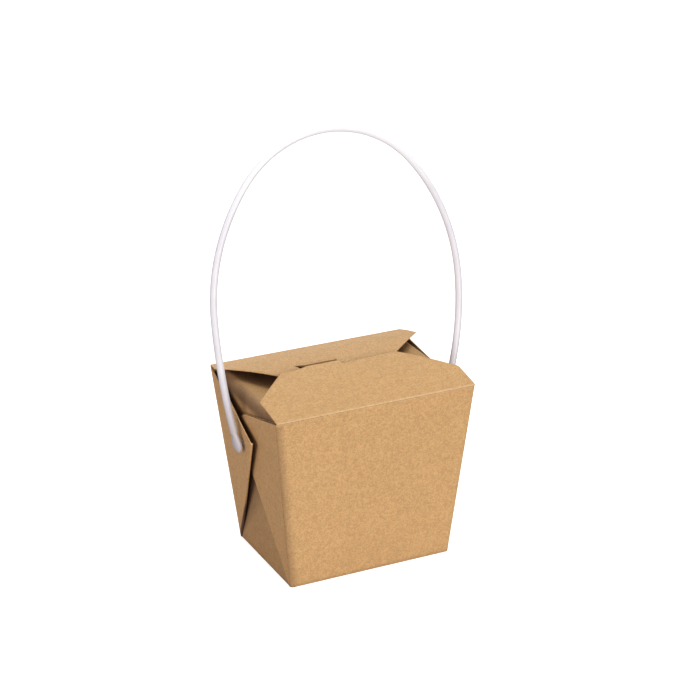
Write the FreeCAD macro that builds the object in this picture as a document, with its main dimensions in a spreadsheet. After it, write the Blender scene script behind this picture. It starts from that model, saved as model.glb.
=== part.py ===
import FreeCAD, Part

import math
import os

# A folded kraft-card food pail with a bail handle, in millimetres.
# The origin is the middle of the bottom's underside. X runs along the long
# sides to the right, Y runs to the back and Z runs up.

SIZES = [
    ("bottom_length", 75.0, "bottom panel along X"),
    ("bottom_width", 55.0, "bottom panel along Y"),
    ("top_length", 91.6, "between the top corners along X"),
    ("top_width", 70.8, "between the top corners along Y"),
    ("height", 80.0, "bottom to the front and back top folds"),
    ("card", 0.45, "thickness of the card"),
    ("corner_radius", 1.6, "outside radius of the soft upright folds"),
    ("end_inset_low", 0.2, "end panel inside the corner line, at the bottom"),
    ("end_inset_high", 2.7, "end panel inside the corner line, at the top"),
    ("end_drop", 0.8, "end flap fold below the front and back folds"),
    ("layer_gap", 0.12, "air between card layers that lie together"),
    ("end_bend_left", 3.2, "soft bend from the left end panel into its flap"),
    ("end_bend_right", 0.9, "bend from the right end panel into its flap"),
    ("front_shoulder_depth", 36.6, "front webs: shoulder from the corner fold"),
    ("front_shoulder_drop", 10.6, "front webs: shoulder below the top"),
    ("back_shoulder_depth", 27.5, "back webs: shoulder from the corner fold"),
    ("left_shoulder_drop", 10.4, "left back web: shoulder below the top"),
    ("right_shoulder_drop", 5.0, "right back web: shoulder below the top"),
    ("front_tip_depth", 47.0, "front webs: tip from the corner fold"),
    ("back_tip_depth", 45.6, "back webs: tip from the corner fold"),
    ("web_tip_drop", 17.9, "corner webs: tip below the top"),
    ("web_round", 3.0, "front webs: radius at the shoulder"),
    ("front_web_air", 0.8, "air behind the front webs' tips"),
    ("back_layer_setback", 2.5, "back webs: inner layer short of the outer one's top edge"),
    ("back_web_lift", 3.4, "back webs' tips outside the corner line"),
    ("front_angle", 13.3, "front flap: rise at its fold, degrees"),
    ("front_bow", 179.0, "front flap: radius that it is bowed to"),
    ("front_left_corner", 17.0, "front flap: fold to its left corner"),
    ("front_right_corner", 15.2, "front flap: fold to its right corner"),
    ("front_reach", 37.8, "front flap: fold to its free edge"),
    ("front_edge", 53.4, "front flap: length of its free edge"),
    ("flap_inset", 0.4, "flaps: side edges inside the top corners"),
    ("tab_width", 14.2, "tab across its root"),
    ("tab_offset", -6.4, "tab: middle of its root along X"),
    ("tab_step", 2.1, "tab: root beyond the free edge"),
    ("tab_shoulder", 6.0, "tab: slanted shoulder on its left"),
    ("tab_dip", 1.7, "tab: how far the free edge falls back on its right"),
    ("tab_length", 6.0, "tab: length below the back flap"),
    ("slit_clearance", 0.4, "slit in front of the tab and beside it"),
    ("slit_gap", 2.9, "slit behind the tab"),
    ("slit_hook", 4.4, "slit: its left end beyond the tab"),
    ("slit_flare", 1.6, "slit: how far its left end curves back"),
    ("back_angle", 15.1, "back flap: rise at its fold, degrees"),
    ("back_bow", 115.0, "back flap: radius that it is bowed to"),
    ("back_left_corner", 9.4, "back flap: fold to its left corner"),
    ("back_right_corner", 12.8, "back flap: fold to its right corner"),
    ("back_reach", 39.6, "back flap: fold to its free edge"),
    ("back_edge", 42.0, "back flap: length of its free edge"),
    ("back_edge_offset", -1.5, "back flap: middle of its free edge along X"),
    ("back_flare", 1.9, "back flap: how far its corners stand out"),
    ("end_angle", 9.0, "end flaps: fall towards the middle, degrees"),
    ("end_reach", 28.0, "end flaps: fold to free edge"),
    ("end_edge", 40.0, "end flaps: length of the free edge"),
    ("end_root", 62.0, "end flaps: length of the fold"),
    ("hinge_gap", 0.05, "front flap's rolled root to the front panel"),
    ("pivot_height", 57.5, "handle pivots above the bottom"),
    ("peg_radius", 1.3, "handle pegs"),
    ("peg_clearance", 0.05, "round the pegs, on the radius"),
    ("rod_radius", 1.5, "handle rod"),
    ("knob_length", 9.0, "handle ends, along the leg"),
    ("knob_width", 5.8, "handle ends, across the leg"),
    ("knob_depth", 4.0, "handle ends, along the peg"),
    ("knob_gap", 0.15, "handle ends to the outermost web"),
    ("head_radius", 2.7, "peg heads inside the end panels"),
    ("head_thickness", 1.1, "peg heads"),
    ("head_gap", 0.4, "peg heads to the end panels"),
    ("arch_spread", 8.475, "handle rod at its widest, outside the knobs' middles"),
    ("arch_shoulder", 54.3, "pivot to the widest place"),
    ("arch_height", 126.3, "pivot to the crown"),
    ("crown_share", 0.857, "bend at the crown, as a share of half the width"),
    ("crown_shift", 3.3, "crown to the right of the pivots' middle"),
    ("handle_tilt", 8.5, "handle leans back, degrees"),
]

# How far cutting shapes reach beyond what they cut.
MARGIN = 60.0

# Shares of the card's thickness.
SEAT = 0.4
BEAD = 1.1
SINK = 0.125


class Sizes:
    """The sheet's values by name, with the places worked out from them."""

    def __init__(self, sheet):
        for name, _, _ in SIZES:
            setattr(self, name, float(sheet.get(name)))
        self.end_top = self.height - self.end_drop
        self.front_top = self.height - self.card - self.hinge_gap
        self.tip_height = self.height - self.web_tip_drop
        self.tab_back = -self.top_width / 2 + self.front_reach + self.tab_step
        self.tab_left = self.tab_offset - self.tab_width / 2
        self.tab_right = self.tab_offset + self.tab_width / 2

    def half_length(self, z):
        return (self.bottom_length + (self.top_length - self.bottom_length) * z / self.height) / 2

    def half_width(self, z):
        return (self.bottom_width + (self.top_width - self.bottom_width) * z / self.height) / 2

    def end_inset(self, z):
        return self.end_inset_low + (self.end_inset_high - self.end_inset_low) * z / self.height


def make_sheet(doc):
    sheet = doc.addObject("Spreadsheet::Sheet", "Sizes")
    for row, (name, value, note) in enumerate(SIZES, start=1):
        sheet.set(f"A{row}", name)
        sheet.set(f"B{row}", str(value))
        sheet.set(f"C{row}", note)
        sheet.setAlias(f"B{row}", name)
    doc.recompute()
    return sheet


class Plane:
    """A plane as its outward unit normal and its distance from the origin."""

    def __init__(self, normal, distance):
        self.normal = normal
        self.distance = distance

    @classmethod
    def through(cls, a, b, c, outward):
        normal = (b - a).cross(c - a)
        normal.normalize()
        if normal.dot(outward) < 0:
            normal = normal * -1
        return cls(normal, normal.dot(a))

    def moved(self, step):
        return Plane(self.normal, self.distance + step)

    def mirrored(self):
        n = self.normal
        return Plane(FreeCAD.Vector(-n.x, n.y, n.z), self.distance)


def meet(p, q, z):
    """The point at height z that lies on both upright planes."""
    a, b = p.normal, q.normal
    u = p.distance - a.z * z
    v = q.distance - b.z * z
    det = a.x * b.y - a.y * b.x
    return FreeCAD.Vector((u * b.y - v * a.y) / det, (a.x * v - b.x * u) / det, z)


def block(planes, low, high):
    """The solid between two heights inside a ring of side planes."""
    count = len(planes)
    foot = [meet(planes[i], planes[(i + 1) % count], low) for i in range(count)]
    head = [meet(planes[i], planes[(i + 1) % count], high) for i in range(count)]
    rings = [foot[::-1], head]
    for i in range(count):
        j = (i + 1) % count
        rings.append([foot[i], foot[j], head[j], head[i]])
    faces = [Part.Face(Part.makePolygon(ring + ring[:1])) for ring in rings]
    return Part.makeSolid(Part.makeShell(faces))


def soft_block(planes, low, high, radius, corners):
    """A block whose upright edges after the named planes are rounded."""
    solid = block(planes, low, high)
    count = len(planes)
    chosen = []
    for i in corners:
        middle = (meet(planes[i], planes[(i + 1) % count], low)
                  + meet(planes[i], planes[(i + 1) % count], high)) * 0.5
        chosen += [e for e in solid.Edges if e.CenterOfMass.distanceToPoint(middle) < 1e-3]
    return solid.makeFillet(radius, chosen)


def prism_x(points, low, high):
    """A solid whose outline is seen along X, from (y, z) points."""
    ring = [FreeCAD.Vector(low, y, z) for y, z in points]
    face = Part.Face(Part.makePolygon(ring + ring[:1]))
    return face.extrude(FreeCAD.Vector(high - low, 0, 0))


def prism_z(points, low, high):
    """A solid whose outline is seen along Z, from (x, y) points."""
    ring = [FreeCAD.Vector(x, y, low) for x, y in points]
    face = Part.Face(Part.makePolygon(ring + ring[:1]))
    return face.extrude(FreeCAD.Vector(0, 0, high - low))


def panel_planes(s):
    """Outer planes: the two long panels, the corner line's and the end panel's."""
    v = FreeCAD.Vector
    low_x, high_x = s.half_length(0), s.half_length(s.height)
    low_y, high_y = s.half_width(0), s.half_width(s.height)
    front = Plane.through(v(0, -low_y, 0), v(1, -low_y, 0), v(0, -high_y, s.height), v(0, -1, 0))
    back = Plane.through(v(0, low_y, 0), v(1, low_y, 0), v(0, high_y, s.height), v(0, 1, 0))
    corner = Plane.through(v(-low_x, 0, 0), v(-low_x, 1, 0), v(-high_x, 0, s.height), v(-1, 0, 0))
    end = Plane.through(v(-low_x + s.end_inset_low, 0, 0), v(-low_x + s.end_inset_low, 1, 0),
                        v(-high_x + s.end_inset_high, 0, s.height), v(-1, 0, 0))
    return front, back, corner, end


def reverse(plane):
    return Plane(plane.normal * -1, -plane.distance)


def side_of(y):
    """A plane square to Y, facing away from the middle."""
    return Plane(FreeCAD.Vector(0, math.copysign(1, y), 0), abs(y))


def side_x(sign):
    """A plane square to X, far out on that side."""
    return Plane(FreeCAD.Vector(sign, 0, 0), MARGIN)


def tip_depth(s, side):
    return s.front_tip_depth if side < 0 else s.back_tip_depth


def web_prism(s, side, top, depth, drop, low_x, high_x):
    """Between two X: the webs' outline seen from the side, with its shoulder."""
    foot = s.half_width(0) - s.corner_radius
    tip = s.half_width(s.tip_height) - tip_depth(s, side)
    shoulder = s.half_width(s.height - drop) - depth
    corner = s.half_width(top)
    points = [(foot, 0), (tip, s.tip_height), (shoulder, s.height - drop),
              (corner, top), (corner + MARGIN, top), (foot + MARGIN, 0)]
    return prism_x([(side * y, z) for y, z in points], low_x, high_x)


def web_outline(s, side, top):
    """The outline of both webs of one long panel: the front's (-1) or the back's (+1)."""
    if side > 0:
        left = web_prism(s, side, top, s.back_shoulder_depth, s.left_shoulder_drop, -MARGIN, 0)
        right = web_prism(s, side, top, s.back_shoulder_depth, s.right_shoulder_drop, 0, MARGIN)
        return left.fuse(right).removeSplitter()
    depth, drop = s.front_shoulder_depth, s.front_shoulder_drop
    solid = web_prism(s, side, top, depth, drop, -MARGIN, MARGIN)
    middle = FreeCAD.Vector(0, side * (s.half_width(s.height - drop) - depth), s.height - drop)
    bend = [e for e in solid.Edges if e.CenterOfMass.distanceToPoint(middle) < 1e-3]
    return solid.makeFillet(s.web_round, bend)


def web_planes(s, side, lift):
    """Outer faces of the left web's two layers: the outer and the inner one."""
    v = FreeCAD.Vector
    out = v(-1, 0, 0)
    top = s.height
    tip_y = side * (s.half_width(s.tip_height) - tip_depth(s, side))
    tip_x = -s.half_length(s.tip_height) - lift
    outer = Plane.through(v(-s.half_length(0), side * s.half_width(0), 0),
                          v(-s.half_length(top), side * s.half_width(top), top),
                          v(tip_x, tip_y, s.tip_height), out)
    step = s.layer_gap + s.card
    low_x = -s.half_length(0) + s.end_inset_low - step
    high_x = -s.half_length(top) + s.end_inset_high - step
    inner = Plane.through(v(low_x, side * s.half_width(0), 0),
                          v(high_x, side * s.half_width(top), top),
                          v(tip_x + s.card, tip_y, s.tip_height), out)
    return outer, inner


def mirrored(shape):
    return shape.mirror(FreeCAD.Vector(), FreeCAD.Vector(1, 0, 0))


def sleeve(s, side, panel, lift, top):
    """One long panel with the corner webs that it carries at both ends."""
    outer, inner = web_planes(s, side, lift)
    left, right = outer, outer.mirrored()
    far = side_of(-side * MARGIN)
    ring = [panel, right, far, left] if side < 0 else [far, right, panel, left]
    corners = [0, 3] if side < 0 else [1, 2]
    body = soft_block(ring, 0, s.height, s.corner_radius, corners)
    hollow = soft_block([p.moved(-s.card) for p in ring], -s.height, 2 * s.height,
                        s.corner_radius - s.card, corners)
    outline = web_outline(s, side, top)
    walls = body.cut(hollow).common(outline)
    seat = panel.moved(-SEAT * s.card)
    limit = [seat, reverse(inner.moved(-s.card)), far, inner]
    if side > 0:
        limit = [far, reverse(inner.moved(-s.card)), seat, inner]
    layer = block(limit, 0, top)
    foot, tip = crease_ends(s, side, lift)
    run = tip - foot
    setback = s.back_layer_setback if side > 0 else 0
    inside = outline.translated(FreeCAD.Vector(0, run.y, run.z) * (-setback / run.Length))
    layers = [x.common(inside).common(body) for x in (layer, mirrored(layer))]
    crease = crease_bead(s, side, lift)
    return [walls, *layers, crease, mirrored(crease)]


def crease_ends(s, side, lift):
    """The left web's crease: its foot and its tip."""
    foot_y = side * (s.half_width(0) - s.corner_radius)
    foot_x = -s.half_length(0) + BEAD * s.card
    tip_y = side * (s.half_width(s.tip_height) - tip_depth(s, side))
    tip_x = -s.half_length(s.tip_height) - lift + s.card
    return FreeCAD.Vector(foot_x, foot_y, 0), FreeCAD.Vector(tip_x, tip_y, s.tip_height)


def crease_bead(s, side, lift):
    """The rounded fold that joins the left web's two layers at their crease."""
    foot, tip = crease_ends(s, side, lift)
    run = tip - foot
    start = foot - run * (s.corner_radius / run.Length)
    bead = Part.makeCylinder(BEAD * s.card, run.Length + s.corner_radius, start, run)
    above = Part.makeBox(2 * MARGIN, 2 * MARGIN, s.height, FreeCAD.Vector(-MARGIN, -MARGIN, 0))
    return bead.common(above)


def end_sheet(s, bend):
    """The left end panel and its flap as one bent sheet, and the height where the bend starts."""
    fold = FreeCAD.Vector(-s.half_length(s.end_top) + s.end_inset(s.end_top), 0, s.end_top)
    down = FreeCAD.Vector(-s.half_length(0) + s.end_inset_low, 0, 0) - fold
    length = down.Length
    down.normalize()
    slope = math.radians(s.end_angle)
    inward = FreeCAD.Vector(math.cos(slope), 0, -math.sin(slope))
    reach = s.end_reach / math.cos(slope)
    middle = down + inward
    middle.normalize()
    half = down.getAngle(inward) / 2
    run = bend / math.tan(half)
    centre = fold + middle * (bend / math.sin(half))
    across = [inward - down * inward.dot(down), down - inward * inward.dot(down)]
    for step in across:
        step.normalize()

    def inner(point, step):
        return point + step * s.card

    foot, low = fold + down * length, fold + down * run
    high, tip = fold + inward * run, fold + inward * reach
    edges = [
        Part.makeLine(foot, low),
        Part.Arc(low, centre - middle * bend, high).toShape(),
        Part.makeLine(high, tip),
        Part.makeLine(tip, inner(tip, across[1])),
        Part.makeLine(inner(tip, across[1]), inner(high, across[1])),
        Part.Arc(inner(high, across[1]), centre - middle * (bend - s.card),
                 inner(low, across[0])).toShape(),
        Part.makeLine(inner(low, across[0]), inner(foot, across[0])),
        Part.makeLine(inner(foot, across[0]), foot),
    ]
    sheet = Part.Face(Part.Wire(edges)).extrude(FreeCAD.Vector(0, 2 * MARGIN, 0))
    sheet.translate(FreeCAD.Vector(0, -MARGIN, 0))
    return sheet, low.z


def end_wall(s, front, back, soft, bend):
    """The left end panel and its flap, inside the soft corners."""
    seats = front.moved(-SEAT * s.card), back.moved(-SEAT * s.card)
    sheet, bend_z = end_sheet(s, bend)
    wall = block([seats[0], side_x(1), seats[1], side_x(-1)], 0, bend_z)
    root = -s.half_length(s.height)
    tip = -s.half_length(s.end_top) + s.end_inset(s.end_top) + s.end_reach
    outline = [(root, -s.end_root / 2), (tip, -s.end_edge / 2),
               (tip, s.end_edge / 2), (root, s.end_root / 2)]
    return sheet.common(wall).common(soft).fuse(sheet.common(prism_z(outline, bend_z, s.height)))


def panels(s, front, back, corner, end):
    """The bottom, and the two end panels with their flaps."""
    soft = soft_block([front, corner.mirrored(), back, corner], 0, s.height,
                      s.corner_radius, [0, 1, 2, 3])
    bottom = block([front, end.mirrored(), back, end], 0, s.card)
    left = end_wall(s, front, back, soft, s.end_bend_left)
    right = end_wall(s, front, back, soft, s.end_bend_right)
    return [bottom.common(soft), left, mirrored(right)]


def bowed_sheet(s, side, pitch, bow, reach):
    """A long flap from its rolled root, towards +Y (+1) or -Y (-1)."""
    half = s.card / 2
    root_y = -side * (s.top_width / 2 - half)
    root_z = s.height - half
    begin = math.radians(pitch)
    finish = math.asin(math.sin(begin) - (reach - half) / bow)
    centre_y = root_y + side * bow * math.sin(begin)
    centre_z = root_z - bow * math.cos(begin)

    def at(radius, angle):
        y = centre_y - side * radius * math.sin(angle)
        return FreeCAD.Vector(-MARGIN, y, centre_z + radius * math.cos(angle))

    middle = (begin + finish) / 2
    over, under = bow + half, bow - half
    roll = FreeCAD.Vector(-MARGIN, root_y - side * half * math.cos(begin), root_z - half * math.sin(begin))
    edges = [
        Part.Arc(at(over, begin), at(over, middle), at(over, finish)).toShape(),
        Part.makeLine(at(over, finish), at(under, finish)),
        Part.Arc(at(under, finish), at(under, middle), at(under, begin)).toShape(),
        Part.Arc(at(under, begin), roll, at(over, begin)).toShape(),
    ]
    face = Part.Face(Part.Wire(edges))
    return face.extrude(FreeCAD.Vector(2 * MARGIN, 0, 0)), at(over, finish).z


def front_flap_shape(s):
    """The outermost flap, with the tab that tucks into the back flap's slit."""
    fold = -s.top_width / 2
    side = s.top_length / 2 - s.flap_inset
    free = fold + s.front_reach
    sheet, edge_z = bowed_sheet(s, 1, s.front_angle, s.front_bow, s.front_reach + s.tab_step - s.card / 2)
    before = fold - s.card
    outline = [(-side, before), (-side, fold + s.front_left_corner), (-s.front_edge / 2, free),
               (s.tab_left - s.tab_shoulder, free), (s.tab_left, s.tab_back),
               (s.tab_right, s.tab_back), (s.tab_right + s.card, free - s.tab_dip),
               (s.front_edge / 2, free), (side, fold + s.front_right_corner), (side, before)]
    plate = sheet.common(prism_z(outline, 0, 2 * s.height))
    nose = s.tab_length / 2
    high, low = edge_z - SINK * s.card, edge_z - s.tab_length
    ring = [(s.tab_left, high), (s.tab_right, high), (s.tab_right, low + nose),
            (s.tab_right - nose, low), (s.tab_left + nose, low), (s.tab_left, low + nose)]
    points = [FreeCAD.Vector(x, s.tab_back - s.card, z) for x, z in ring]
    tab = Part.Face(Part.makePolygon(points + points[:1])).extrude(FreeCAD.Vector(0, s.card, 0))
    return plate.fuse(tab)


def back_flap_shape(s):
    """The flap under the front one, with the slit for its tab."""
    fold = s.top_width / 2
    side = s.top_length / 2 - s.flap_inset
    corner = side + s.back_flare
    left = s.back_edge_offset - s.back_edge / 2
    right = s.back_edge_offset + s.back_edge / 2
    sheet, _ = bowed_sheet(s, -1, s.back_angle, s.back_bow, s.back_reach)
    behind, free = fold + s.card, fold - s.back_reach - s.card
    outline = [(-side, behind), (-side, fold), (-corner, fold - s.back_left_corner), (left, free),
               (right, free), (corner, fold - s.back_right_corner), (side, fold), (side, behind)]
    gap = s.slit_clearance
    near, far = s.tab_back - s.card - gap, s.tab_back + s.slit_gap
    hook = s.tab_left - s.slit_hook
    slit = [(s.tab_right + gap, near), (s.tab_right + gap, far), (s.tab_left, far),
            (hook, far + s.slit_flare), (hook + s.slit_flare, near)]
    return sheet.common(prism_z(outline, 0, 2 * s.height)).cut(prism_z(slit, 0, 2 * s.height))


def carton_shape(s):
    front, back, corner, end = panel_planes(s)
    front_lift = s.layer_gap + 2 * s.card + s.front_web_air - s.end_inset(s.tip_height)
    pieces = panels(s, front, back, corner, end)
    pieces += sleeve(s, -1, front, front_lift, s.front_top)
    pieces += sleeve(s, 1, back, s.back_web_lift, s.height - s.card / 2)
    pieces.append(back_flap_shape(s))
    whole = pieces[0].multiFuse(pieces[1:])
    hole = Part.makeCylinder(s.peg_radius + s.peg_clearance, 2 * MARGIN,
                             FreeCAD.Vector(-MARGIN, 0, s.pivot_height), FreeCAD.Vector(1, 0, 0))
    return whole.cut(hole)


def rod_shape(s, foot_x):
    """The bail's rod: crown, shoulder and leg arcs that run into each other."""
    half = foot_x + s.arch_spread
    rise = s.arch_height - s.arch_shoulder
    shift = s.crown_shift
    bend_radius = s.crown_share * half
    shoulder = (half ** 2 + rise ** 2 - 2 * rise * bend_radius) / (2 * (half - bend_radius))
    lean = math.radians(s.handle_tilt)

    def place(x, along):
        return FreeCAD.Vector(x, along * math.sin(lean), s.pivot_height + along * math.cos(lean))

    def side_points(side):
        """Foot, middle of the leg, widest place, middle of the shoulder, start of the crown."""
        wide = shift + side * half
        inward = side * foot_x - wide
        radius = (inward ** 2 + s.arch_shoulder ** 2) / (2 * inward)
        bend = math.asin(s.arch_shoulder / abs(radius)) / 2
        knee = (wide + radius * (1 - math.cos(bend)), s.arch_shoulder - abs(radius) * math.sin(bend))
        dx, dz = shoulder - half, rise - bend_radius
        turn = math.atan2(dz, dx)
        centre = shift + side * (half - shoulder)
        hip = (centre + side * shoulder * math.cos(turn / 2),
               s.arch_shoulder + shoulder * math.sin(turn / 2))
        crown = (centre + side * shoulder * math.cos(turn),
                 s.arch_shoulder + shoulder * math.sin(turn))
        return [(side * foot_x, 0), knee, (wide, s.arch_shoulder), hip, crown]

    left = [place(*p) for p in side_points(-1)]
    right = [place(*p) for p in side_points(1)]
    top = place(shift, s.arch_height)
    edges = [Part.Arc(left[0], left[1], left[2]).toShape(),
             Part.Arc(left[2], left[3], left[4]).toShape(),
             Part.Arc(left[4], top, right[4]).toShape(),
             Part.Arc(right[4], right[3], right[2]).toShape(),
             Part.Arc(right[2], right[1], right[0]).toShape()]
    path = Part.Wire(edges)
    start = edges[0].tangentAt(edges[0].FirstParameter)
    ring = Part.Wire(Part.Circle(left[0], start, s.rod_radius).toShape())
    return path.makePipeShell([ring], True, True)


AT_PIVOT = "Sizes.pivot_height / Sizes.height"
PIVOT_X = f"(Sizes.bottom_length + (Sizes.top_length - Sizes.bottom_length) * {AT_PIVOT}) / 2"
PIVOT_Y = f"(Sizes.bottom_width + (Sizes.top_width - Sizes.bottom_width) * {AT_PIVOT}) / 2"
WEB_LIFT = f"Sizes.back_web_lift * ({PIVOT_Y} + Sizes.knob_length / 2) / Sizes.back_tip_depth"
KNOB_X = f"{PIVOT_X} + {WEB_LIFT} + Sizes.knob_gap + Sizes.knob_depth / 2"
END_INSET = f"Sizes.end_inset_low + (Sizes.end_inset_high - Sizes.end_inset_low) * {AT_PIVOT}"
HEAD_X = f"{PIVOT_X} - ({END_INSET}) - Sizes.card - Sizes.head_gap"


def bind(item, **expressions):
    for name, expression in expressions.items():
        item.setExpression(name.replace("__", "."), expression)


def add_handle(doc, s):
    """The bail: its rod, and at each end a knob, a peg and the peg's head."""
    pieces = []
    for name, sign, turn in (("left", "-1", 90), ("right", "1", -90)):
        knob = doc.addObject("Part::Ellipsoid", f"knob_{name}")
        bind(knob, Radius1="Sizes.knob_length / 2", Radius2="Sizes.knob_depth / 2",
             Radius3="Sizes.knob_width / 2", Placement__Base__x=f"{sign} * ({KNOB_X})",
             Placement__Base__z="Sizes.pivot_height", Placement__Rotation__Angle="-Sizes.handle_tilt")
        knob.Placement.Rotation = FreeCAD.Rotation(FreeCAD.Vector(1, 0, 0), -s.handle_tilt)
        peg = doc.addObject("Part::Cylinder", f"peg_{name}")
        peg.Placement.Rotation = FreeCAD.Rotation(FreeCAD.Vector(0, 1, 0), turn)
        bind(peg, Radius="Sizes.peg_radius", Height=f"{KNOB_X} - ({HEAD_X}) + Sizes.head_thickness / 2",
             Placement__Base__x=f"{sign} * ({KNOB_X})", Placement__Base__z="Sizes.pivot_height")
        head = doc.addObject("Part::Cylinder", f"head_{name}")
        head.Placement.Rotation = FreeCAD.Rotation(FreeCAD.Vector(0, 1, 0), turn)
        bind(head, Radius="Sizes.head_radius", Height="Sizes.head_thickness",
             Placement__Base__x=f"{sign} * ({HEAD_X})", Placement__Base__z="Sizes.pivot_height")
        pieces += [knob, peg, head]
    doc.recompute()
    rod = doc.addObject("Part::Feature", "rod")
    rod.Shape = rod_shape(s, pieces[3].Placement.Base.x)
    handle = doc.addObject("Part::MultiFuse", "handle")
    handle.Shapes = [rod] + pieces
    return handle


def add_sheet_part(doc, name, shape):
    part = doc.addObject("Part::Feature", name)
    part.Shape = shape
    part.Placement = FreeCAD.Placement()
    return part


def check(doc, parts):
    for item in doc.Objects:
        if "Invalid" in item.State or "Error" in item.State:
            raise RuntimeError(f"{item.Label} failed: {item.State}")
    for part in parts:
        shape = part.Shape
        if shape.isNull() or not shape.isValid() or len(shape.Solids) != 1:
            raise RuntimeError(f"{part.Label} isn't one valid solid")


def main():
    doc = FreeCAD.newDocument("pail")
    s = Sizes(make_sheet(doc))
    parts = [add_sheet_part(doc, "carton", carton_shape(s)),
             add_sheet_part(doc, "front_flap", front_flap_shape(s)),
             add_handle(doc, s)]
    doc.recompute()
    check(doc, parts)
    os.makedirs("parts", exist_ok=True)
    for part in parts:
        part.Shape.exportStep(f"parts/{part.Label}.step")


main()
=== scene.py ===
import math

import bmesh
import bpy
from mathutils import Matrix, Vector


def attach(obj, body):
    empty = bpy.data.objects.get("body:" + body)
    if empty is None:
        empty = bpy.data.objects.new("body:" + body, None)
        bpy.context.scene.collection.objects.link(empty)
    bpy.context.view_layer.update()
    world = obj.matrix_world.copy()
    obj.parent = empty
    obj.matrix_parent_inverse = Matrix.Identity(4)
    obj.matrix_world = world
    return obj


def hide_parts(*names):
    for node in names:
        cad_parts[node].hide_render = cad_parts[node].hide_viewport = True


# A kraft-card food pail with a white bail handle, in metres, in the CAD's frame:
# X along the long sides to the right, Y to the back, Z up from the bottom's underside.

MM = 0.001

# Camera, solved from the carton's six visible corners. Angles are in degrees.
CAMERA_AZIMUTH = -25.391
CAMERA_ELEVATION = 22.220
CAMERA_ROLL = -0.621
CAMERA_DISTANCE = 0.960
CAMERA_ACROSS = 0.00292
CAMERA_UP = 0.08433
CAMERA_NEAREST = 0.01
CAMERA_FARTHEST = 20.0
FOCAL_PIXELS = 2194.1
IMAGE_PIXELS = 700
SENSOR_WIDTH = 36.0

# Light. The sky's level, and the length of each lamp's direction, is the brightness that it
# gives a white surface that faces it. Each lamp also has its spread in degrees and its colour.
WHITE = (1.0, 1.0, 1.0)
SKY_LEVEL = 0.15
LAMPS = {
    "front": ((0.06, -0.61, 0.06), 12.0, WHITE),
    "top": ((0.06, 0.05, 0.52), 50.0, (1.0, 1.035, 0.99)),
    "left_fill": ((-0.36, -0.16, 0.12), 40.0, (1.0, 0.91, 0.955)),
    "right_fill": ((0.24, 0.06, 0.06), 40.0, (1.0, 0.945, 0.955)),
    "back_fill": ((0.02, 0.26, 0.06), 40.0, WHITE),
}
FLOOR_ALBEDO = 0.34
FLOOR_SHOWN = 0.80
FLOOR_GLOW = 0.72
FLOOR_RADIUS = 4.0
FLOOR_SIDES = 64

# Lines on the carton that its painted shade, and its painted highlights with wear, follow. A run or
# slope is per unit of height.
CREASE_FOOT_Y = 25.9 * MM
CREASE_RUN_FRONT = 0.6324
CREASE_RUN_BACK = 0.6098
TURNED_EDGE_FOOT = 1.8 * MM
TURNED_EDGE_RUN = 0.10
CORNER_FOOT_X = 37.5 * MM
CORNER_SLOPE_X = 0.10375
CORNER_FOOT_Y = 27.5 * MM
CORNER_SLOPE_Y = 0.09875
END_FOOT_X = 37.3 * MM
END_SLOPE = 0.0725
TOP_FOLD_Y = 35.2 * MM
TOP_FOLD_Z = 79.8 * MM

# Zones of the carton, each as where it hasn't begun and where it holds in full. Those without
# MM are per unit of height, but for FACES_UP, which is how far a face looks up.
END_WALLS = (34.0 * MM, 36.0 * MM)
BEHIND_FRONT_CREASE = (-0.3 * MM, 0.3 * MM)
BEFORE_BACK_CREASE = (-0.06, 0.0)
NEAR_PANEL = (0.040, 0.015)
OFF_PANEL = (0.015, 0.040)
FRONT_FACE = (1.8 * MM, 0.8 * MM)
BELOW_FRONT_FOLD = (79.4 * MM, 78.0 * MM)
BELOW_LONG_FLAPS = (79.7 * MM, 79.4 * MM)
NEAR_TOP = (70.0 * MM, 74.0 * MM)
BETWEEN_ENDS = (43.6 * MM, 43.2 * MM)
BETWEEN_SIDES = (32.6 * MM, 31.6 * MM)
ABOVE_WEB_MIDDLE = (38.0 * MM, 46.0 * MM)
BELOW_WEB_TIP = (66.0 * MM, 60.0 * MM)
TOP_FLAPS = (79.0 * MM, 80.0 * MM)
FACES_UP = (0.4, 0.7)

# Painted shade, and painted highlights with wear, on the card, each as the two ends of a ramp and,
# where it isn't 0 to 1, how strong it is at each. A reach is how far a shade looks for what is in the
# way.
TRIANGLE_BY_WEB = (-0.01, 0.13, 0.90, 0.48)
TRIANGLE_FADING = (0.13, 0.50, 0.0, 0.24)
TURNED_EDGE_SHADE = (-0.7 * MM, 0.5 * MM, 0.0, 0.92)
SOFT_FOLD_SHADE = (0.2 * MM, 4.2 * MM, 0.38, 0.0)
HOLLOW_LEFT_TO_RIGHT = (-20.0 * MM, 20.0 * MM, 1.0, 0.4)
HOLLOW_BY_WEBS = (38.5 * MM, 43.0 * MM, 0.20, 0.7)
CREVICE_REACH = 4.0 * MM
CREVICE_CLOSED = 0.06
CREVICE_LEAST = 0.08
CREVICE_OPEN = (68.0 * MM, 74.0 * MM, 0.60, 0.55)
CREVICE_CLOSER = 0.22
INSIDE_REACH = 50.0 * MM
INSIDE_LIGHT = (0.0, 0.20, 0.2, 1.0)
FRONT_REACH = 9.0 * MM
FRONT_SKY = (0.0, -0.8, 0.6)
FRONT_SHADE = (0.94, 0.62)
SHADE_SAMPLES = 4
# Painted highlight, with wear, along the webs' creases.
CREASE_HIGHLIGHT_AND_WEAR = (0.55 * MM, 0.15 * MM)
CREASE_RUBBED = (0.3, 0.6, 0.08, 0.28)
# Painted highlight, with wear, along the front flap's top fold.
TOP_FOLD_HIGHLIGHT_AND_WEAR = (0.9 * MM, 0.2 * MM)
TOP_FOLD_RUBBED = (0.3, 0.6, 0.25, 0.75)

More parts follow.
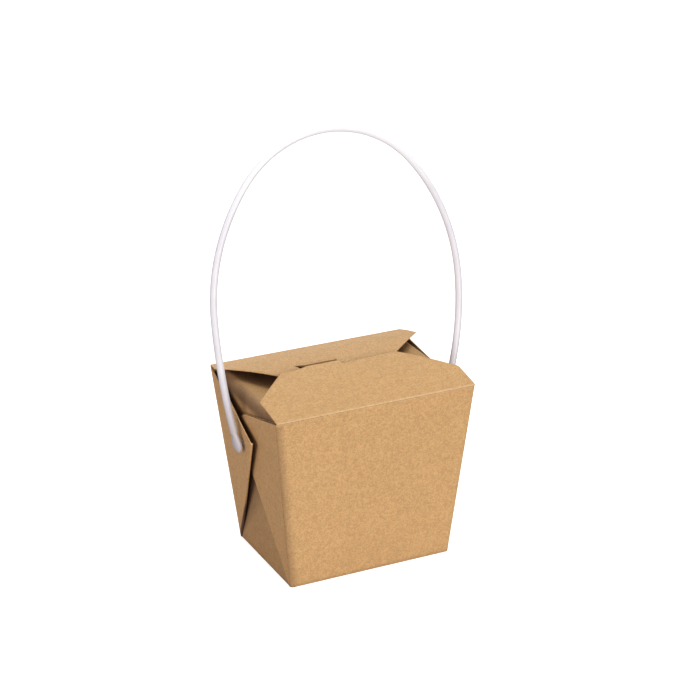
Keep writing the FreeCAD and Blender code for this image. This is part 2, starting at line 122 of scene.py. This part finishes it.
# Kraft card's surface. A noise has its features per metre and may have detail and roughness;
# streaks have a turn and the features per metre along each turned axis.
GRAIN = (1350.0, 3.0, 0.6)
GRAIN_SHARE = 0.78
BLOTCHES = (520.0, 3.0, 0.6)
CLOUDS = (300.0,)
PATCHES = (55.0,)
CREASE_RUBBING = (700.0,)
TOP_FOLD_RUBBING = (900.0,)
FIBRES_ACROSS = ((0.5, 0.4, 0.9), (260.0, 3200.0, 3200.0))
FIBRES_ALONG = ((2.0, 1.1, 0.3), (3000.0, 3000.0, 240.0))
MOTTLE_HUE = (0.40, 0.60)
MOTTLE_LEVEL = (0.38, 0.62, 0.93, 1.07)
CLOUD_LEVEL = (0.34, 0.66, 0.975, 1.025)
PATCH_LEVEL = (0.3, 0.7, 0.985, 1.015)
LIGHT_FIBRES = (0.60, 0.74, 0.0, 0.45)
DARK_FIBRES = (0.62, 0.76, 0.0, 0.45)
CARD_RELIEF = 0.06 * MM

# White plastic's surface, with heights above the handle's pivot.
PLASTIC_CLOUDS = (120.0, 3.0)
PLASTIC_PORES = (700.0,)
PLASTIC_SCUFFS = ((0.3, 0.9, 0.2), (500.0, 4000.0, 900.0))
SCUFFED_ROUGHNESS = (0.3, 0.7, 0.36, 0.46)
PLASTIC_RELIEF = 0.05 * MM
PLASTIC_BLEED = (1.2 * MM, 1.1 * MM, 1.2 * MM)
# Painted shade greys the legs from this height down to their feet.
FEET_SHADE_END = 36.0 * MM
# Painted light whitens the crown between these heights.
CROWN_LIGHT_START = 85.0 * MM
CROWN_LIGHT_END = 122.0 * MM

# Bail handle.
ROD_RADIUS = 1.55 * MM
ARCH_WIDTH = 113.8 * MM
ARCH_SHOULDER = 54.3 * MM
ARCH_HEIGHT = 126.3 * MM
CROWN_SHARE = 0.857
CROWN_SHIFT = 3.3 * MM
TILT = math.radians(8.5)
PIVOT_HEIGHT = 57.5 * MM
FOOT_X = 48.50 * MM
KNOB_ABOVE = 4.9 * MM
KNOB_BELOW = 3.8 * MM
KNOB_HALF_WIDTH = 3.1 * MM
KNOB_HALF_DEPTH = 1.8 * MM
PEG_RADIUS = 1.3 * MM
HEAD_X = 40.62 * MM
HEAD_RADIUS = 2.7 * MM
HEAD_THICKNESS = 1.1 * MM
HEAD_ROUNDING = 0.3 * MM
SIDES = 28
CAP_RINGS = 8
PATH_STEP = 0.8 * MM

# Colours, linear.
KRAFT_REDDER = (0.610, 0.344, 0.142)
KRAFT_YELLOWER = (0.652, 0.396, 0.172)
KRAFT_FIBRE_LIGHT = (0.76, 0.48, 0.23)
KRAFT_FIBRE_DARK = (0.43, 0.255, 0.112)
# Pale worn fibres, also the colour of the painted highlights along the folds.
KRAFT_HIGHLIGHT_AND_WEAR = (0.80, 0.54, 0.29)
# The colour of the painted shade in the card's creases, hollows and gaps.
KRAFT_SHADE = (0.070, 0.032, 0.022)
PLASTIC = (0.80, 0.785, 0.815)
PLASTIC_SHADE = (0.75, 0.735, 0.77)
# Painted shade towards the legs' feet.
PLASTIC_FEET_SHADE = (0.52, 0.48, 0.50)
# Painted light on the crown.
PLASTIC_CROWN_LIGHT = (0.90, 0.89, 0.905)


class Graph:
    """Short calls for building a node tree."""

    def __init__(self, tree):
        self.tree = tree
        tree.nodes.clear()

    def add(self, kind, sockets=None, **settings):
        node = self.tree.nodes.new("ShaderNode" + kind)
        for name, value in settings.items():
            setattr(node, name, value)
        for name, value in (sockets or {}).items():
            self.feed(node.inputs[name], value)
        return node

    def feed(self, socket, value):
        if isinstance(value, bpy.types.NodeSocket):
            self.tree.links.new(value, socket)
        elif hasattr(value, "__len__") and len(value) == 3 and socket.type == "RGBA":
            socket.default_value = (*value, 1.0)
        else:
            socket.default_value = value

    def show(self, shader, kind="OutputMaterial"):
        self.feed(self.add(kind).inputs["Surface"], shader.outputs[0])

    def position(self):
        return self.add("TexCoord").outputs["Object"]

    def axes(self, vector):
        return self.add("SeparateXYZ", {"Vector": vector}).outputs

    def noise(self, where, scale, detail=2.0, roughness=0.5):
        sockets = {"Vector": where, "Scale": scale, "Detail": detail, "Roughness": roughness}
        return self.add("TexNoise", sockets).outputs["Fac"]

    def streaks(self, where, turn, scale):
        """Noise drawn out along a turned axis."""
        node = self.add("Mapping", {"Vector": where, "Rotation": turn, "Scale": scale})
        return self.noise(node.outputs["Vector"], 1.0)

    def openness(self, reach, sockets=None, **settings):
        """How much of what a face looks at is open, up to a reach."""
        sockets = {"Distance": reach, **(sockets or {})}
        node = self.add("AmbientOcclusion", sockets, samples=SHADE_SAMPLES, **settings)
        return node.outputs["AO"]

    def ramp(self, value, low, high, start=0.0, end=1.0):
        sockets = {"Value": value, "From Min": low, "From Max": high, "To Min": start, "To Max": end}
        return self.add("MapRange", sockets, interpolation_type="SMOOTHSTEP").outputs["Result"]

    def math(self, operation, a, b=0.0):
        node = self.add("Math", operation=operation)
        self.feed(node.inputs[0], a)
        self.feed(node.inputs[1], b)
        return node.outputs["Value"]

    def product(self, first, *others):
        for other in others:
            first = self.math("MULTIPLY", first, other)
        return first

    def line(self, value, slope, start):
        return self.math("ADD", self.product(value, slope), start)

    def mix(self, factor, a, b):
        node = self.add("Mix", data_type="RGBA")
        self.feed(node.inputs[0], factor)
        self.feed(node.inputs[6], a)
        self.feed(node.inputs[7], b)
        return node.outputs[2]


def new_material(name):
    material = bpy.data.materials.new(name)
    material.use_nodes = True
    return material, Graph(material.node_tree)


def crease_lines(g, where):
    """How far a point lies behind the front webs' creases and before the back webs', in metres."""
    axes = g.axes(where)
    rise = g.product(axes["Z"], CREASE_RUN_FRONT)
    behind = g.math("SUBTRACT", g.math("ADD", axes["Y"], CREASE_FOOT_Y), rise)
    rise = g.product(axes["Z"], CREASE_RUN_BACK)
    before = g.math("SUBTRACT", g.math("SUBTRACT", CREASE_FOOT_Y, axes["Y"]), rise)
    return behind, before


def at_ends(g, where):
    """1 on the end walls and their webs, 0 over the bottom and the long panels."""
    return g.ramp(g.math("ABSOLUTE", g.axes(where)["X"]), *END_WALLS)


def triangle_shade(g, where):
    """Shade between the webs' creases: on the end panels, deepest beside the back webs, and on
    the back webs' turned edges."""
    axes = g.axes(where)
    behind, before = crease_lines(g, where)
    height = g.math("MAXIMUM", axes["Z"], 1.0 * MM)
    panel_x = g.line(axes["Z"], END_SLOPE, END_FOOT_X)
    off = g.math("DIVIDE", g.math("SUBTRACT", g.math("ABSOLUTE", axes["X"]), panel_x), height)
    between = g.product(g.ramp(behind, *BEHIND_FRONT_CREASE), at_ends(g, where))
    beside = g.math("DIVIDE", before, height)
    depth = g.math("SUBTRACT", g.ramp(beside, *TRIANGLE_BY_WEB), g.ramp(beside, *TRIANGLE_FADING))
    inside = g.product(between, g.ramp(off, *NEAR_PANEL), g.ramp(beside, *BEFORE_BACK_CREASE))
    turned = g.math("SUBTRACT", before, g.product(axes["Z"], TURNED_EDGE_RUN))
    turned = g.math("ADD", turned, TURNED_EDGE_FOOT)
    edge = g.product(g.ramp(turned, *TURNED_EDGE_SHADE), g.ramp(off, *OFF_PANEL))
    return g.math("ADD", g.product(inside, depth), g.product(between, edge))


def fold_shade(g, where):
    """Shade where the front panel turns softly into the left end's fold."""
    axes = g.axes(where)
    aside = g.math("ADD", axes["X"], g.line(axes["Z"], CORNER_SLOPE_X, CORNER_FOOT_X))
    deep = g.math("ADD", axes["Y"], g.line(axes["Z"], CORNER_SLOPE_Y, CORNER_FOOT_Y))
    on_front = g.product(g.ramp(deep, *FRONT_FACE), g.ramp(axes["Z"], *BELOW_FRONT_FOLD))
    return g.product(on_front, g.ramp(aside, *SOFT_FOLD_SHADE))


def hollow_shade(g, where):
    """Shade over the end flaps, which lie under the long flaps: deepest beside the webs."""
    axes = g.axes(where)
    along, across = g.math("ABSOLUTE", axes["X"]), g.math("ABSOLUTE", axes["Y"])
    level = g.product(g.ramp(axes["Z"], *BELOW_LONG_FLAPS), g.ramp(axes["Z"], *NEAR_TOP))
    under = g.product(level, g.ramp(along, *BETWEEN_ENDS), g.ramp(across, *BETWEEN_SIDES))
    under = g.product(under, g.ramp(axes["X"], *HOLLOW_LEFT_TO_RIGHT))
    return g.product(under, g.ramp(along, *HOLLOW_BY_WEBS))


def front_shade(g, where):
    """How far things ahead of the top flaps keep light from them: 0 where they leave them open."""
    facing = g.add("CombineXYZ", dict(zip("XYZ", FRONT_SKY))).outputs["Vector"]
    normal = g.add("NewGeometry").outputs["Normal"]
    got = g.openness(FRONT_REACH, {"Normal": facing})
    turned = g.add("VectorMath", {0: normal, 1: facing}, operation="DOT_PRODUCT").outputs["Value"]
    share = g.math("DIVIDE", got, g.line(turned, 0.5, 0.5))
    on_top = g.product(g.ramp(g.axes(normal)["Z"], *FACES_UP), g.ramp(g.axes(where)["Z"], *TOP_FLAPS))
    return g.product(g.ramp(share, *FRONT_SHADE), on_top)


def crevice_light(g, where):
    """1 in the open, little deep in gaps between layers of card. Near the webs' tips the shade
    keeps closer to the gap."""
    height = g.axes(where)["Z"]
    by_tips = g.ramp(height, *BELOW_WEB_TIP, 0.0, CREVICE_CLOSER)
    by_tips = g.product(g.ramp(height, *ABOVE_WEB_MIDDLE), by_tips)
    open_from = g.math("SUBTRACT", g.ramp(height, *CREVICE_OPEN), by_tips)
    return g.ramp(g.openness(CREVICE_REACH), CREVICE_CLOSED, open_from, CREVICE_LEAST)


def inside_light(g):
    """1 outside, less inside the carton, where little light gets in."""
    return g.ramp(g.openness(INSIDE_REACH, only_local=True), *INSIDE_LIGHT)


def top_fold_highlight_and_wear(g, where):
    """Fibres rubbed pale along the front flap's fold, with a painted highlight where the rounded fold
    catches light.
    """
    flat = g.add("VectorMath", {0: where, 1: (0.0, 1.0, 1.0)}, operation="MULTIPLY").outputs["Vector"]
    fold = g.add("VectorMath", {0: flat, 1: (0.0, -TOP_FOLD_Y, TOP_FOLD_Z)}, operation="DISTANCE")
    rubbed = g.ramp(g.noise(where, *TOP_FOLD_RUBBING), *TOP_FOLD_RUBBED)
    return g.product(g.ramp(fold.outputs["Value"], *TOP_FOLD_HIGHLIGHT_AND_WEAR), rubbed)


def crease_highlight_and_wear(g, where):
    """Fibres rubbed pale along the webs' folded edges, with a painted highlight where the rounded
    folds catch light.
    """
    behind, before = crease_lines(g, where)
    nearest = g.math("MINIMUM", g.math("ABSOLUTE", behind), g.math("ABSOLUTE", before))
    rubbed = g.ramp(g.noise(where, *CREASE_RUBBING), *CREASE_RUBBED)
    return g.product(g.ramp(nearest, *CREASE_HIGHLIGHT_AND_WEAR), at_ends(g, where), rubbed)


def kraft_material():
    """Uncoated kraft card: mottled, with short fibres, worn pale along its folds, with painted
    highlights there and painted shade in its creases, hollows and gaps.
    """
    material, g = new_material("kraft_card")
    where = g.position()
    grain = g.noise(where, *GRAIN)
    blotches = g.product(g.noise(where, *BLOTCHES), 1 - GRAIN_SHARE)
    mottle = g.math("ADD", blotches, g.product(grain, GRAIN_SHARE))
    across, along = g.streaks(where, *FIBRES_ACROSS), g.streaks(where, *FIBRES_ALONG)
    colour = g.mix(g.ramp(mottle, *MOTTLE_HUE), KRAFT_REDDER, KRAFT_YELLOWER)
    colour = g.mix(g.ramp(across, *LIGHT_FIBRES), colour, KRAFT_FIBRE_LIGHT)
    colour = g.mix(g.ramp(along, *DARK_FIBRES), colour, KRAFT_FIBRE_DARK)
    clouds = g.ramp(g.noise(where, *CLOUDS), *CLOUD_LEVEL)
    patches = g.ramp(g.noise(where, *PATCHES), *PATCH_LEVEL)
    level = g.product(g.ramp(mottle, *MOTTLE_LEVEL), clouds, patches)
    colour = g.add("VectorMath", {0: colour, 3: level}, operation="SCALE").outputs["Vector"]
    # Worn fibres, with a painted highlight, along the top fold and the webs' creases.
    for highlight_and_wear in (top_fold_highlight_and_wear, crease_highlight_and_wear):
        colour = g.mix(highlight_and_wear(g, where), colour, KRAFT_HIGHLIGHT_AND_WEAR)
    # Painted shade in the creases, hollows and gaps, and where little light gets in.
    for shade in (triangle_shade, fold_shade, hollow_shade, front_shade):
        colour = g.mix(shade(g, where), colour, KRAFT_SHADE)
    colour = g.mix(g.product(crevice_light(g, where), inside_light(g)), KRAFT_SHADE, colour)
    relief = g.math("ADD", g.product(grain, 0.7), g.product(across, 0.5))
    bump = g.add("Bump", {"Strength": 0.35, "Distance": CARD_RELIEF, "Height": relief})
    g.show(g.add("BsdfPrincipled", {"Base Color": colour, "Roughness": 0.68,
                                    "Specular IOR Level": 0.32, "Normal": bump.outputs["Normal"]}))
    return material


def plastic_material():
    """White moulded plastic, satin, with faint clouding and scuffs, painted shade greying it towards
    its feet, and painted light whitening its crown.
    """
    material, g = new_material("white_plastic")
    where = g.position()
    height = g.math("SUBTRACT", g.axes(where)["Z"], PIVOT_HEIGHT)
    clouding = g.noise(where, *PLASTIC_CLOUDS)
    colour = g.mix(g.ramp(clouding, 0.3, 0.7), PLASTIC, PLASTIC_SHADE)
    # Painted shade, greying the legs towards their feet.
    colour = g.mix(g.ramp(height, FEET_SHADE_END, 0.0), colour, PLASTIC_FEET_SHADE)
    # Painted light, whitening the crown.
    colour = g.mix(g.ramp(height, CROWN_LIGHT_START, CROWN_LIGHT_END), colour, PLASTIC_CROWN_LIGHT)
    scuffs = g.streaks(where, *PLASTIC_SCUFFS)
    relief = g.product(g.noise(where, *PLASTIC_PORES), 0.6)
    relief = g.math("ADD", relief, g.product(scuffs, 0.3))
    bump = g.add("Bump", {"Strength": 0.2, "Distance": PLASTIC_RELIEF, "Height": relief})
    g.show(g.add("BsdfPrincipled", {
        "Base Color": colour, "Roughness": g.ramp(scuffs, *SCUFFED_ROUGHNESS),
        "Specular IOR Level": 0.5, "Subsurface Weight": 0.15, "Subsurface Radius": PLASTIC_BLEED,
        "Subsurface Scale": 1.0, "Normal": bump.outputs["Normal"]}))
    return material


def floor_material():
    """A pale floor that shows white, dims in the object's shadow and throws little light up."""
    material, g = new_material("pale_floor")
    seen = g.add("LightPath").outputs["Is Camera Ray"]
    level = g.ramp(seen, 0.0, 1.0, FLOOR_ALBEDO, FLOOR_SHOWN)
    colour = g.add("CombineColor", {"Red": level, "Green": level, "Blue": level})
    shader = g.add("BsdfDiffuse", {"Color": colour.outputs["Color"]})
    glow = g.add("Emission", {"Color": WHITE, "Strength": g.product(seen, FLOOR_GLOW)})
    g.show(g.add("AddShader", {0: shader.outputs["BSDF"], 1: glow.outputs["Emission"]}))
    return material


def build_world():
    """A dim sky that the camera, reflections and see-through rays find white."""
    world = bpy.data.worlds.new("studio")
    world.use_nodes = True
    bpy.context.scene.world = world
    g = Graph(world.node_tree)
    path = g.add("LightPath").outputs
    shown = g.math("MAXIMUM", path["Is Camera Ray"], path["Is Glossy Ray"])
    shown = g.math("MAXIMUM", shown, path["Is Transmission Ray"])
    dim = g.add("Background", {"Color": WHITE, "Strength": SKY_LEVEL}).outputs["Background"]
    white = g.add("Background", {"Color": WHITE, "Strength": 1.0}).outputs["Background"]
    g.show(g.add("MixShader", {0: shown, 1: dim, 2: white}), "OutputWorld")


def build_lamps():
    for name, (towards, spread, tint) in LAMPS.items():
        lamp = bpy.data.lights.new(name, "SUN")
        lamp.energy = Vector(towards).length * math.pi
        lamp.angle = math.radians(spread)
        lamp.color = tint
        holder = bpy.data.objects.new(name, lamp)
        holder.rotation_euler = Vector(towards).to_track_quat("Z", "Y").to_euler()
        bpy.context.collection.objects.link(holder)


def build_floor():
    mesh = bpy.data.meshes.new("floor")
    maker = bmesh.new()
    bmesh.ops.create_circle(maker, cap_ends=True, segments=FLOOR_SIDES, radius=FLOOR_RADIUS)
    maker.to_mesh(mesh)
    maker.free()
    floor = bpy.data.objects.new("floor", mesh)
    bpy.context.collection.objects.link(floor)
    mesh.materials.append(floor_material())


def build_camera():
    azimuth = math.radians(CAMERA_AZIMUTH)
    elevation = math.radians(CAMERA_ELEVATION)
    level = math.cos(elevation)
    back = Vector((math.sin(azimuth) * level, -math.cos(azimuth) * level, math.sin(elevation)))
    right = (-back).cross(Vector((0.0, 0.0, 1.0))).normalized()
    right = Matrix.Rotation(math.radians(CAMERA_ROLL), 3, back) @ right
    up = back.cross(right)
    place = back * CAMERA_DISTANCE + right * CAMERA_ACROSS + up * CAMERA_UP
    data = bpy.data.cameras.new("camera")
    data.sensor_fit = "HORIZONTAL"
    data.sensor_width = SENSOR_WIDTH
    data.lens = FOCAL_PIXELS / IMAGE_PIXELS * SENSOR_WIDTH
    data.clip_start = CAMERA_NEAREST
    data.clip_end = CAMERA_FARTHEST
    camera = bpy.data.objects.new("camera", data)
    turned = Matrix((right, up, back)).transposed().to_4x4()
    camera.matrix_world = Matrix.Translation(place) @ turned
    bpy.context.collection.objects.link(camera)
    bpy.context.scene.camera = camera


def arc(centre, radius, start, end):
    """Points of an arc, about PATH_STEP apart, without its last one."""
    steps = max(2, math.ceil(abs(radius * (end - start)) / PATH_STEP))
    angles = [start + (end - start) * i / steps for i in range(steps)]
    return [(centre[0] + radius * math.cos(t), centre[1] + radius * math.sin(t)) for t in angles]


def bail_line():
    """The rod's middle line from foot to foot, as (across, along) in the bail's own plane."""
    half = ARCH_WIDTH / 2
    rise = ARCH_HEIGHT - ARCH_SHOULDER
    bend = CROWN_SHARE * half
    shoulder = (half ** 2 + rise ** 2 - 2 * rise * bend) / (2 * (half - bend))
    turn = math.atan2(rise - bend, shoulder - half)

    def side(sign):
        """From the end of the crown over the widest place to the foot."""
        wide = sign * CROWN_SHIFT + half
        inward = wide - FOOT_X
        leg = (inward ** 2 + ARCH_SHOULDER ** 2) / (2 * inward)
        lower = arc((wide - leg, ARCH_SHOULDER), leg, 0.0, -math.asin(ARCH_SHOULDER / leg))
        upper = arc((wide - shoulder, ARCH_SHOULDER), shoulder, turn, 0.0)
        return [(sign * x, y) for x, y in upper + lower + [(FOOT_X, 0.0)]]

    crown = arc((CROWN_SHIFT, ARCH_HEIGHT - bend), bend, math.pi - turn, turn)
    return side(-1)[::-1][:-1] + crown + side(1)


def knob_profile(beyond):
    """Half the handle's size across it and along the peg, at a distance above its pivot."""
    reach = KNOB_ABOVE if beyond > 0 else KNOB_BELOW
    closing = math.sqrt(max(0.0, 1 - (beyond / reach) ** 2))
    width, depth = KNOB_HALF_WIDTH * closing, KNOB_HALF_DEPTH * closing
    if beyond < 0:
        return width, depth
    rod = ROD_RADIUS * (1 - closing)
    return math.hypot(width, rod), math.hypot(depth, rod)


def turns(count=SIDES):
    """The angles of a ring's points, or of its first ones."""
    return [2 * math.pi * k / SIDES for k in range(count)]


def tube(maker, rings):
    """A closed skin over rings of points; the first and last rings are single points."""
    rows = [[maker.verts.new(p) for p in ring] for ring in rings]
    for below, above in zip(rows, rows[1:]):
        for i in range(SIDES):
            j = (i + 1) % SIDES
            corners = [below[i % len(below)], below[j % len(below)]]
            corners += [above[j % len(above)], above[i % len(above)]]
            maker.faces.new(list(dict.fromkeys(corners)))


def rod_rings():
    """The rod with its rounded knobs, from end to end, tilted back about its pivot."""
    line = [Vector(p) for p in bail_line()]
    first, last = (line[0] - line[1]).normalized(), (line[-1] - line[-2]).normalized()
    caps = [math.sin(math.pi / 2 * i / CAP_RINGS) * KNOB_BELOW for i in range(CAP_RINGS, 0, -1)]
    points = [line[0] + first * d for d in caps] + line + [line[-1] + last * d for d in reversed(caps)]
    lengths = [0.0]
    for a, b in zip(points, points[1:]):
        lengths.append(lengths[-1] + (b - a).length)
    face_on = Vector((0.0, math.cos(TILT), -math.sin(TILT)))
    rings = []
    for i, point in enumerate(points):
        middle = Vector((point.x, point.y * math.sin(TILT), PIVOT_HEIGHT + point.y * math.cos(TILT)))
        if i in (0, len(points) - 1):
            rings.append([middle])
            continue
        run = (points[i + 1] - points[i - 1]).normalized()
        across = Vector((run.y, -run.x * math.sin(TILT), -run.x * math.cos(TILT)))
        width, depth = knob_profile(min(lengths[i], lengths[-1] - lengths[i]) - KNOB_BELOW)
        rings.append([middle + across * depth * math.cos(t) + face_on * width * math.sin(t)
                      for t in turns()])
    return rings


def peg_rings(sign):
    """A peg from inside the knob to its rounded head inside the end panel."""
    soft = HEAD_ROUNDING
    end = HEAD_X - HEAD_THICKNESS
    profile = [(FOOT_X, 0.0), (FOOT_X, PEG_RADIUS), (HEAD_X, PEG_RADIUS), (HEAD_X, HEAD_RADIUS - soft),
               (HEAD_X - soft / 3, HEAD_RADIUS - soft / 3), (HEAD_X - soft, HEAD_RADIUS),
               (end + 2 * soft, HEAD_RADIUS - soft / 3), (end + soft / 2, HEAD_RADIUS - 2 * soft),
               (end, HEAD_RADIUS - 4 * soft), (end, 0.0)]
    return [[Vector((sign * x, radius * math.cos(t), PIVOT_HEIGHT + radius * math.sin(t)))
             for t in turns(SIDES if radius else 1)] for x, radius in profile]


def build_bail(material):
    mesh = bpy.data.meshes.new("bail_handle")
    maker = bmesh.new()
    for rings in (rod_rings(), peg_rings(-1), peg_rings(1)):
        tube(maker, rings)
    bmesh.ops.recalc_face_normals(maker, faces=maker.faces)
    maker.to_mesh(mesh)
    maker.free()
    for polygon in mesh.polygons:
        polygon.use_smooth = True
    mesh.materials.append(material)
    bail = bpy.data.objects.new("bail_handle", mesh)
    bpy.context.collection.objects.link(bail)
    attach(bail, "bail")
    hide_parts("handle")


def dress_card(material):
    for name in ("carton", "front_flap"):
        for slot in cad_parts[name].material_slots:
            slot.material = material


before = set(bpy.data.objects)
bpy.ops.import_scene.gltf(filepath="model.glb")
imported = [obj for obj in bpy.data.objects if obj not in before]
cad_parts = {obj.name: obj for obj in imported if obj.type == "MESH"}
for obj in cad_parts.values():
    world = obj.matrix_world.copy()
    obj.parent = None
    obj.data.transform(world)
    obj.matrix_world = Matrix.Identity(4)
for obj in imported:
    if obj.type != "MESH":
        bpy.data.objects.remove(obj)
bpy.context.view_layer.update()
bpy.context.scene.view_settings.view_transform = "Standard"
build_camera()
build_world()
build_lamps()
build_floor()
dress_card(kraft_material())
build_bail(plastic_material())
